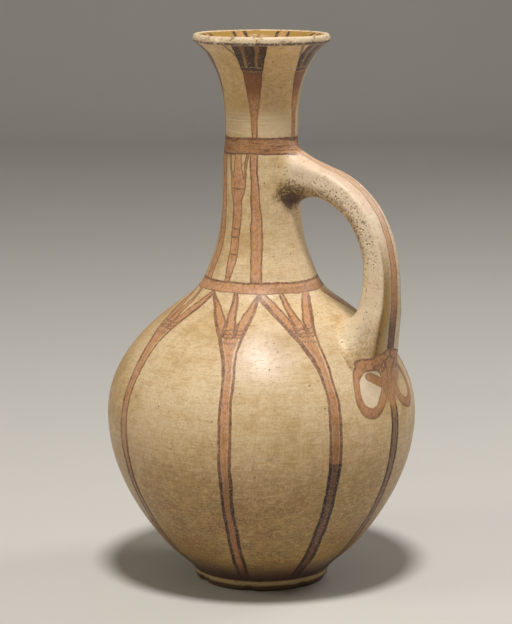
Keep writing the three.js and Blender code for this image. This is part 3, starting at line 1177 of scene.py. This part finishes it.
def neckMarks(surface):
    marks = neckPaint
    up, z, around = surface.up, surface.z, surface.around

    def nearest(*angles):
        # distance round the neck from the nearest of some upright lines
        gaps = [(around - angle).size() for angle in angles]
        least = gaps[0]
        for gap in gaps[1:]:
            least = least.least(gap)
        return least * surface.perDegree

    first, second, third = marks["stripes"]
    lean = ((z - 191) / 76).most(0.0) ** 1.6 * marks["lean"]
    half = marks["stripeHalf"] - marks["stripeTaper"] * z.step(*marks["taperAt"])
    stripe = half - nearest(first + lean, second, third)
    bud = nearest(*marks["stems"])
    stem = marks["halfStem"] + 1.3 * z.step(190, 206) + 2.3 * up.step(238, 248) + 1.5 * z.step(250, 267)
    stalk = stem - bud
    opened = ((up - marks["budFoot"]) / marks["budHeight"]).most(0.0)
    gap = (bud - 4.1 + opened * 1.8).least(opened * 1.3 + 4.05 - bud)
    fill = stripe.step(-0.25, 0.25).most(stalk.step(-0.25, 0.25) * (1 - gap.step(-0.1, 0.25)))
    line = surface.strip(stripe, 0.95).most(surface.strip(stalk, 0.85))
    line = line.most(surface.strip(-gap, 0.7, 0.2) * z.step(252, 254))
    for knot in marks["knots"]:
        line = line.most((1 - (up - knot).size().step(0.35, 0.7)) * stalk.step(-0.2, 0.2) * 0.9)
    onNeck = (1 - up.step(*marks["top"])) * up.step(*marks["foot"])
    return fill * onNeck, line * onNeck


# Five tapering flowers on the funnel, and pairs of strokes inside it. Start and apart are in degrees.
mouthPaint = {
    "start": 3,
    "apart": 72,
    "foot": 2.1,
    "spread": 9.2,
    "flowerFoot": 279,
    "flowerHeight": 56,
    "brownFrom": (299, 309),
    "darkFrom": (314, 321),
    "slitFrom": (320, 322),
    "curlFrom": (322, 324),
    "lightTies": (318.4, 320.8),
    "innerStart": 10,
    "innerApart": 45,
    "strokeAt": 3.8,
    "strokeHalf": 1.05,
    "strokesFrom": (306, 312),
    "spotsFrom": (316, 322),
    "outsideTo": (334.4, 335.6),
    "tawnyStalk": ((280, 286), (301, 309)),
    "emberPart": ((299, 305), (315, 321)),
    "paleBelt": ((278, 282), (288, 300)),
    "beadFrom": (333.8, 335.6),
    "beadOutside": (37.6, 39),
    "beadUnderside": (335.4, 336.9),
}


def heightBelt(surface, belt):
    # 1 from one height up to another
    low, high = belt
    return surface.z.step(*low) * (1 - surface.z.step(*high))


def repeated(surface, start, apart):
    # distance from the nearest of a row of places, equally far apart round the jug
    turned = (surface.theta - start + apart / 2 + 720) / apart
    return (surface.clay.reckon("FRACT", turned) - 0.5) * apart * surface.perDegree


def mouthMarks(surface):
    marks, up = mouthPaint, surface.up
    across = repeated(surface, marks["start"], marks["apart"])
    bud = across.size()
    rise = ((up - marks["flowerFoot"]) / marks["flowerHeight"]).most(0.0)
    flower = rise * rise * marks["spread"] + marks["foot"] - bud
    fill = flower.step(-0.25, 0.25)
    line = surface.strip(flower, 0.9)
    # the flower is brown from its stalk up and black towards the lip, but for the slits between its petals
    ragged = up + (surface.fine - 0.5) * 9 + (surface.cloud - 0.5) * 8
    blackened = ragged.step(*marks["brownFrom"]) * 0.66 + ragged.step(*marks["darkFrom"]) * 0.34
    opened = ((up - 321.5) / 13).most(0.0)
    sliver = (bud - 2.0 - opened * 1.2).least(4.1 + opened * 2.4 - bud) * up.step(*marks["slitFrom"])
    slit = sliver.step(-0.1, 0.6) * surface.cloud * 0.8
    black = blackened * (0.75 + surface.fine * 0.5).least(1.0) * fill * (1 - slit.least(0.7))
    # a fine tendril curls away on one side
    curl = bud - 7.2 - ((up - 324) / 12).most(0.0) ** 1.5 * 11.5
    curled = (1 - curl.size().step(0.7, 1.4)) * up.step(*marks["curlFrom"]) * (1 - across.over(0))
    lowTie, highTie = marks["lightTies"]
    tied = (up - lowTie).size().least((up - highTie).size())
    tie = (1 - tied.step(0.2, 0.6)) * flower.step(0.2, 0.8) * surface.grit.step(0.42, 0.52)
    return fill, line, black.most(curled), tie


def strokeMarks(surface):
    marks = mouthPaint
    across = repeated(surface, marks["innerStart"], marks["innerApart"])
    stroke = 1 - ((across.size() - marks["strokeAt"]).size() - marks["strokeHalf"]).step(-0.3, 0.4)
    spot = 1 - (across.size() - 1.7).step(-0.5, 0.9)
    return stroke * surface.z.step(*marks["strokesFrom"]), spot * surface.z.step(*marks["spotsFrom"])


# Where the painted shade and dirt under the handle's top root are centred, and how far they reach
hollow = {
    "place": (26, -7.0, 238.5),
    "upShare": 0.85,
    "core": (2.2, 7.4),
    "rim": (6, 19),
    "rimAbove": (246, 252),
}


def shadeAndDirtUnderHandle(surface):
    # painted shade and dirt where the handle's underside leaves the neck: a dark purple core of painted
    # shade, thinning out upwards and sideways into olive and dirt
    away = surface.awayFrom(hollow["place"], hollow["upShare"]) + (surface.cloud - 0.5) * 6
    core = 1 - away.step(*hollow["core"])
    rim = (1 - away.step(*hollow["rim"])) * (surface.z + surface.x * 0.5).step(*hollow["rimAbove"])
    lump = (surface.fine + surface.grit * 0.5 + rim * 0.35).step(0.86, 1.08)
    surface.wash(rim * 0.45, slip["olive"])
    surface.wash(rim * lump * 0.85, slip["dirt"])
    # painted shade: the dark purple core in the corner under the handle
    surface.wash(core * 0.8, slip["purple"])


# Where the paint on the body is darker, by height or by degrees from the handle
bodyPaint = {
    "lowPart": (72, 102),
    "nearStemDarkens": (96, 142),
    "nearStemDark": (90.5, 92.5),
    "handleStemDark": (112, 127),
    "besideHandle": (34, 62),
    "lowDarkFoot": (6.6, 7.6),
    "lowDarkTop": (7, 27),
}


def bodyMaterial():
    surface = Surface("bodySlip")
    marks, z, up, around = bodyPaint, surface.z, surface.up, surface.around
    fill, line = flowerMarks(surface)
    scrolls, scrollLine, covered = scrollMarks(surface)
    bandFill, bandLine = bandMarks(surface, "neckBase", 1.55)
    clear = (1 - bandFill) * (1 - covered)
    pastHandle = around.over(flowers["borders"][0])
    nearStem = pastHandle * (1 - around.over(flowers["borders"][1]))
    low = 1 - z.step(*marks["lowPart"])
    sooner = nearStem * (1 - z.step(*marks["nearStemDarkens"])) * 0.58
    besideHandle = bandFill * (1 - around.step(*marks["besideHandle"])) * 0.42
    suddenly = nearStem * (1 - up.step(*marks["nearStemDark"]))
    handleStem = (1 - pastHandle) * (1 - z.step(*marks["handleStemDark"]))
    darkness = (low * 0.62).most(handleStem * 0.8).most(suddenly)
    surface.lay(
        (fill * clear).most(bandFill).most(scrolls),
        (line * clear).most(bandLine).most(scrollLine),
        darkness.most(scrolls * 0.2).most(sooner).most(besideHandle),
        low.most(handleStem).most(suddenly).most(surface.scribble * 0.8),
    )
    # a thin light line where the two halves of the body meet, and darker purple just above the foot
    meeting = 1 - (z - jug["bellyJoint"] + surface.swayUp * 0.2).size().step(0.1, 0.45)
    meeting = meeting * (surface.patch + surface.fine * 0.4).step(0.62, 0.78) * 0.4 * (1 - fill)
    surface.wash(meeting, slip["pale"])
    lowDark = (1 - z.step(*marks["lowDarkTop"])) * z.step(*marks["lowDarkFoot"]) * (0.5 + surface.cloud * 0.8)
    surface.wash(lowDark.least(0.95), slip["purple"])
    surface.height = surface.height - meeting * 0.12
    return surface.finish()


def neckMaterial():
    surface = Surface("neckSlip")
    fill, line = neckMarks(surface)
    lowFill, lowLine = bandMarks(surface, "neckBase", 1.3)
    highFill, highLine = bandMarks(surface, "midNeck")
    surface.lay(
        fill.most(lowFill).most(highFill),
        line.most(lowLine).most(highLine),
        highFill * 0.45,
        0.15,
    )
    surface.brushLevel(highFill)
    shadeAndDirtUnderHandle(surface)
    return surface.finish()


def mouthMaterial():
    surface = Surface("mouthSlip")
    marks, z, fine, grit, cloud = mouthPaint, surface.z, surface.fine, surface.grit, surface.cloud
    inside = surface.clay.note("inside").step(0.3, 0.7)
    outside = (1 - inside) * (1 - surface.up.step(*marks["outsideTo"]))
    flower, flowerLine, black, tie = mouthMarks(surface)
    bandFill, bandLine = bandMarks(surface, "midNeck")
    stroke, spot = strokeMarks(surface)
    fill = (flower * outside * (1 - bandFill)).most(bandFill * (1 - inside)).most(spot * inside * 0.8)
    line = (flowerLine * outside * (1 - bandFill)).most(bandLine * (1 - inside)).most(stroke * inside)
    darkness = (black * outside).most(stroke * inside)
    surface.wash(inside * (0.7 + cloud * 0.5).least(0.95), slip["olive"])
    surface.wash(inside * 0.5, slip["umber"])
    surface.wash(inside * 0.3, slip["straw"])
    surface.lay(fill, line.most(black * outside * (0.3 + fine)), darkness.most(bandFill * 0.4), darkness)
    surface.brushLevel(bandFill * (1 - inside))
    # a tawny stalk with dark and pale grains, and a browner part above it
    stalk = fill * outside * heightBelt(surface, marks["tawnyStalk"])
    surface.wash(stalk * 0.5, paintColours["orange"])
    surface.wash(fill * outside * heightBelt(surface, marks["emberPart"]) * 0.45, slip["ember"])
    surface.wash(stalk * (fine * 0.6 + grit * 0.6).step(0.6, 0.7) * 0.6, paintColours["inkBrown"])
    surface.wash(stalk * (grit * 0.9).step(0.5, 0.62) * 0.4, slip["pale"])
    streaked = (1 - inside) * heightBelt(surface, marks["paleBelt"])
    surface.wash(streaked * (0.35 + surface.streak.step(0.45, 0.6) * 0.55) * (1 - fill), slip["pale"])
    surface.wash(tie * outside * 0.6, slip["tan"])
    # the lip's bead is pale, with purple-brown along its lower edge and in spots
    bead = z.step(*marks["beadFrom"]) * surface.radius.step(*marks["beadOutside"])
    surface.wash(bead * (0.35 + fine * 0.7).least(1.0), slip["chalk"])
    surface.wash(bead * (fine + cloud).step(0.96, 1.2) * 0.7, slip["olive"])
    under = bead * (1 - z.step(*marks["beadUnderside"])) * (fine + cloud * 0.5).step(0.6, 0.78)
    spots = bead * fine.step(0.55, 0.63) * cloud.step(0.46, 0.6)
    surface.wash(under.most(spots) * 0.95, slip["purple"])
    surface.height = surface.height + bead * fine * 0.35
    surface.roughness = surface.roughness + bead * 0.12
    return surface.finish()


# The handle's paint: its stripe, the dark line along the arris, the painted shade on the outer face, and
# where its colours change. A pair is where a change starts and where it ends, in height or, where the name
# says radius, near or reach, outwards.
handlePaint = {
    "stripeHalf": 3.3,
    "stripeMore": 1.9,
    "widerNear": (42, 66),
    "stripeDrift": 2.6,
    "driftFrom": (212, 246),
    "shadyFrom": (168, 226),
    "wornFrom": (205, 245),
    "stripeFoot": (119, 121),
    "outline": 0.8,
    "arris": 0.86,
    "edgeFoot": (139, 148),
    "edgeTop": (214, 240),
    "lowPart": (158, 202),
    "lightFrom": (218, 240),
    "shadedFoot": (126, 150),
    "shadedTop": (182, 226),
    "shadedWider": (150, 196),
    "rosyFrom": (215, 240),
    "neckFrom": (262, 264),
    "neckRadius": (26.5, 31),
    "worstPits": (68, 226),
    "pitReach": (6, 44),
    "pitCell": 1.9,
    "pitGroups": 3.4,
    "fingerFrom": (195, 215),
    "fingerRadius": (80, 95),
    "rootFrom": (232, 238),
    "rootReach": (38, 66),
}


def washHandle(surface, proud, low):
    # paler slip than the body's, mottled and flecked; proud is 0 where the clay runs out on the body
    z, fine, grit, cloud = surface.z, surface.fine, surface.grit, surface.cloud
    surface.wash(proud * (0.35 + cloud * 0.7).least(0.85), slip["pale"])
    surface.wash(proud * (0.4 + fine * 0.5), slip["chalk"])
    surface.wash(z.step(*handlePaint["lightFrom"]) * proud * 0.85, slip["light"])
    surface.wash((1 - low) * proud * surface.patch.step(0.4, 0.6) * 0.3, slip["pink"])
    mottled = (fine * 0.6 + grit * 0.5).step(0.53, 0.66) * (0.3 + 0.7 * cloud.step(0.4, 0.6))
    surface.wash(mottled * proud * 0.38, slip["olive"])
    flecks = (fine * 0.5 + grit * 0.6).step(0.62, 0.7)
    surface.wash(flecks * proud * (0.1 + cloud.step(0.45, 0.6) * 0.4), slip["speck"])


def shadeOuterFace(surface, share):
    # painted shade: brown down the outer face, up to a dark line along its edge, mostly on one half of it;
    # and a rosy part above it
    marks, z, fine, cloud = handlePaint, surface.z, surface.fine, surface.cloud
    wider = (1 - z.step(*marks["shadedWider"])) * 0.14
    flat = 1 - (share + (fine - 0.5) * 0.3 - wider).step(0.74, 0.96)
    shaded = flat * (1 - z.step(*marks["shadedTop"])) * z.step(*marks["shadedFoot"])
    shaded = shaded * (0.5 + share.step(0.2, 0.8) * 0.5) * (1 - surface.y.step(1, 6) * 0.7)
    surface.wash(shaded * (0.55 + cloud * 0.6).least(0.95), slip["umber"])
    surface.wash(shaded * (fine + cloud * 0.6).step(0.72, 0.95) * 0.5, slip["speck"])
    surface.wash(shaded * 0.5, slip["straw"])
    surface.wash(flat * z.step(*marks["rosyFrom"]) * cloud * 0.45, slip["rose"])


def stripeMarks(surface, facing, covered, shady):
    # the stripe down the middle of the outer face
    marks, z = handlePaint, surface.z
    drift = marks["stripeDrift"] * z.step(*marks["driftFrom"])
    across = (surface.y + surface.swayAcross * 0.8 - drift).size()
    wide = marks["stripeMore"] * (1 - surface.radius.step(*marks["widerNear"])) + 0.7 * shady
    stripe = marks["stripeHalf"] + wide - across
    shown = facing.step(0.2, 0.5) * (1 - covered) * z.step(*marks["stripeFoot"])
    worn = 1 - z.step(*marks["wornFrom"]) * 0.45
    return stripe.step(-0.3, 0.3) * shown * worn, surface.strip(stripe, marks["outline"]) * shown * 0.9


def arrisDarkLine(surface, share, shady):
    # a dark broken line along the arris between the outer face and the sides
    marks, z, arris = handlePaint, surface.z, handlePaint["arris"]
    edge = share.step(arris - 0.06 - shady * 0.1, arris - 0.01) * (1 - share.step(arris + 0.01, arris + 0.06))
    edge = edge * (1 - z.step(*marks["edgeTop"])) * z.step(*marks["edgeFoot"])
    broken = (surface.fine * 0.8 + surface.grit * 0.4 + surface.loose * 0.3).step(0.5, 0.95)
    return (edge * broken * (0.7 + shady * 0.3)).least(0.75)


def dirtyHandle(surface, facing, low):
    # pits, worst where the handle bends; dirt on the finger side; and under the top root, dirt with painted
    # shade where the handle meets the neck
    marks, clay, x, z = handlePaint, surface.clay, surface.x, surface.z
    fine, grit, cloud = surface.fine, surface.grit, surface.cloud
    placeX, placeZ = marks["worstPits"]
    away = ((x - placeX) * (x - placeX) + (z - placeZ) * (z - placeZ)) ** 0.5
    worst = 1 - away.step(*marks["pitReach"])
    side = (1 - (facing + 0.25).size().step(0.45, 0.75)) * (1 - low * 0.5)
    pitted = 1 - clay.cells(surface.point, marks["pitCell"]).step(0.16, 0.3)
    groups = clay.grain(surface.point, marks["pitGroups"], 2.0)
    pits = pitted * (groups + worst * 0.24).step(0.5, 0.58) * side
    surface.wash(pits * 0.7, slip["dirt"])
    surface.height = surface.height - pits * 0.5
    finger = (1 - facing.step(-0.75, 0.0)) * z.step(*marks["fingerFrom"])
    finger = finger * (1 - surface.radius.step(*marks["fingerRadius"]))
    stained = finger * (cloud + fine * 0.5).step(0.6, 0.85) * 0.6
    # under the top root by the neck: olive and dark dirt, partly painted shade in the corner
    root = (1 - facing.step(-0.7, 0.1)) * (1 - x.step(*marks["rootReach"])) * z.step(*marks["rootFrom"])
    surface.wash(stained.most(root * 0.7), slip["olive"])
    rough = (fine + grit * 0.4 + root * 0.12).step(0.74, 0.86)
    surface.wash(finger.most(root) * rough * 0.75, slip["dirt"])


def handleMaterial():
    surface = Surface("handleSlip")
    clay, z = surface.clay, surface.z
    facing, share, proud = clay.note("facing"), clay.note("across"), clay.note("proud")
    low = 1 - z.step(*handlePaint["lowPart"])
    shady = 1 - z.step(*handlePaint["shadyFrom"])
    washHandle(surface, proud, low)
    shadeOuterFace(surface, share)
    scrolls, scrollLine, covered = scrollMarks(surface)
    stripe, stripeLine = stripeMarks(surface, facing, covered, shady)
    bandFill, bandLine = bandMarks(surface, "midNeck")
    near = (1 - surface.radius.step(*handlePaint["neckRadius"])) * z.step(*handlePaint["neckFrom"])
    lowStripe = low * (1 - covered)
    surface.lay(
        stripe.most(scrolls).most(bandFill * near),
        stripeLine.most(scrollLine).most(bandLine * near),
        lowStripe.most(bandFill * near * 0.45).most(scrolls * 0.2),
        lowStripe.most(surface.scribble * 0.8),
    )
    surface.brushLevel(bandFill * near)
    surface.wash(arrisDarkLine(surface, share, shady) * (1 - covered), slip["arrisDark"])
    dirtyHandle(surface, facing, low)
    shadeAndDirtUnderHandle(surface)
    surface.roughness = surface.roughness + 0.05
    return surface.finish()


def footMaterial():
    surface = Surface("footClay")
    fine, cloud = surface.fine, surface.cloud
    # cream above, darker along the lower edge that stands on the floor, and dark flecks
    surface.wash(surface.z.step(3.0, 4.6) * 0.75, slip["cream"])
    edge = 1 - (surface.z + (cloud - 0.5) * 2).step(2.9, 4.3)
    surface.wash(edge * (0.65 + cloud * 0.5).least(0.9), slip["lowDark"])
    surface.wash(fine.step(0.6, 0.72) * cloud.step(0.45, 0.6) * 0.7, slip["dirt"])
    surface.roughness = surface.roughness + 0.15
    surface.height = surface.height + fine * 0.1
    surface.coat = 0.0
    return surface.finish()


bodySlip, neckSlip, mouthSlip = bodyMaterial(), neckMaterial(), mouthMaterial()
handleSlip, footClay = handleMaterial(), footMaterial()
print("materials made")


def markInside(piece):
    # 1 on the inner side of the funnel, and 0 outside
    values = []
    for vertex in piece.data.vertices:
        height = vertex.co.z / mm
        radius = math.hypot(vertex.co.x, vertex.co.y) / mm
        if height > jug["stations"][-1][0]:
            limit = lip["insideRadius"] + (height - jug["stations"][-1][0]) * lip["insideSlope"]
        else:
            limit = outlineAt(height)[0] - jug["neckWall"] / 2
        values.append(1.0 if radius < limit else 0.0)
    note = piece.data.attributes.new("inside", "FLOAT", "POINT")
    note.data.foreach_set("value", values)


markInside(turnedPieces["mouth"])


# Every piece stands for one solid, rides on the jug and carries its finish
finishes = {
    "foot_ring": (footClay, "foot_clay"),
    "bowl": (bodySlip, "slipped_clay"),
    "shoulder": (bodySlip, "slipped_clay"),
    "neck": (neckSlip, "slipped_clay"),
    "mouth": (mouthSlip, "slipped_clay"),
    "handle": (handleSlip, "slipped_clay"),
    "handle_top_lute": (handleSlip, "slipped_clay"),
    "handle_foot_lute": (handleSlip, "slipped_clay"),
}
for node, piece in {**turnedPieces, **handlePieces}.items():
    material, slot = finishes[node]
    piece.data.materials.clear()
    piece.data.materials.append(material)
    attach(piece, "root")
    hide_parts(node)
print("pieces dressed")


# Studio: pale floor running up into a backdrop, and soft lamps
studio = {
    "floorSize": 5.0,
    "backAt": 3.3,
    "backHeight": 2.6,
    "curve": 0.7,
    "floorColour": colour(205, 203, 199),
    "floorMottle": colour(212, 209, 204),
    "mottleSize": 260,
    "world": colour(232, 226, 214),
    "worldStrength": 0.17,
}


def makeFloor():
    # one sheet: flat in front, curved up behind as seen from the camera
    deselectAll()
    bpy.ops.mesh.primitive_plane_add(size=studio["floorSize"] * 2)
    floor = bpy.context.active_object
    floor.name = "floor"
    away = Vector((-math.sin(cameraSettings["turn"] * degree), math.cos(cameraSettings["turn"] * degree), 0))
    side = Vector((away.y, -away.x, 0))
    half = studio["floorSize"]
    corners = ((-1, -1), (1, -1), (-1, 1), (1, 1))
    for vertex, (sideways, back) in zip(floor.data.vertices, corners):
        reach = studio["backAt"] if back > 0 else half
        vertex.co = side * sideways * half + away * back * reach
    bpy.ops.object.mode_set(mode="EDIT")
    bpy.ops.mesh.select_mode(type="EDGE")
    bpy.ops.mesh.select_all(action="DESELECT")
    bpy.ops.object.mode_set(mode="OBJECT")
    for edge in floor.data.edges:
        ends = [floor.data.vertices[index].co.dot(away) for index in edge.vertices]
        edge.select = min(ends) > studio["backAt"] - 0.01
    bpy.ops.object.mode_set(mode="EDIT")
    bpy.ops.mesh.extrude_region_move(TRANSFORM_OT_translate={"value": (0, 0, studio["backHeight"])})
    bpy.ops.object.mode_set(mode="OBJECT")
    bend = floor.modifiers.new("bend", "BEVEL")
    bend.width = studio["curve"]
    bend.segments = 24
    bend.limit_method = "ANGLE"
    bpy.ops.object.modifier_apply(modifier="bend")
    bpy.ops.object.shade_smooth()
    clay = Clay("floorPaper")
    point = clay.place()
    mottled = clay.grain(point, studio["mottleSize"], 2.0).step(0.3, 0.7) * 0.25
    tint = clay.paint(mottled, studio["floorColour"], studio["floorMottle"])
    paper = clay.finish(tint, 0.85, clay.grain(point, 1.2, 2.0), 0.02)
    floor.data.materials.append(paper)


# Lamps: place, size, power and tint, each aimed at the middle of the jug
lamps = {
    "key": ((0.374, -0.592, 2.02), 0.36, 35.2, (1.0, 0.97, 0.94)),
    "left": ((-0.9, -1.5, 1.5), 0.8, 6.7, (1.0, 0.93, 0.76)),
    "right": ((0.9, 1.25, 1.4), 0.8, 9.0, (1.0, 0.97, 0.91)),
}


def makeLamps():
    for name, (place, size, power, tint) in lamps.items():
        data = bpy.data.lights.new(name + "Lamp", "AREA")
        data.shape = "DISK"
        data.size = size
        data.energy = power
        data.color = tint
        lamp = bpy.data.objects.new(name + "Lamp", data)
        lamp.location = place
        aim = Vector((0, 0, 0.17)) - Vector(place)
        lamp.rotation_euler = aim.to_track_quat("-Z", "Y").to_euler()
        bpy.context.scene.collection.objects.link(lamp)
    world = bpy.data.worlds.new("studioAir")
    world.use_nodes = True
    air = world.node_tree.nodes["Background"]
    air.inputs["Color"].default_value = studio["world"]
    air.inputs["Strength"].default_value = studio["worldStrength"]
    bpy.context.scene.world = world


makeFloor()
makeLamps()
bpy.context.scene.view_settings.view_transform = "Standard"
print("studio ready")
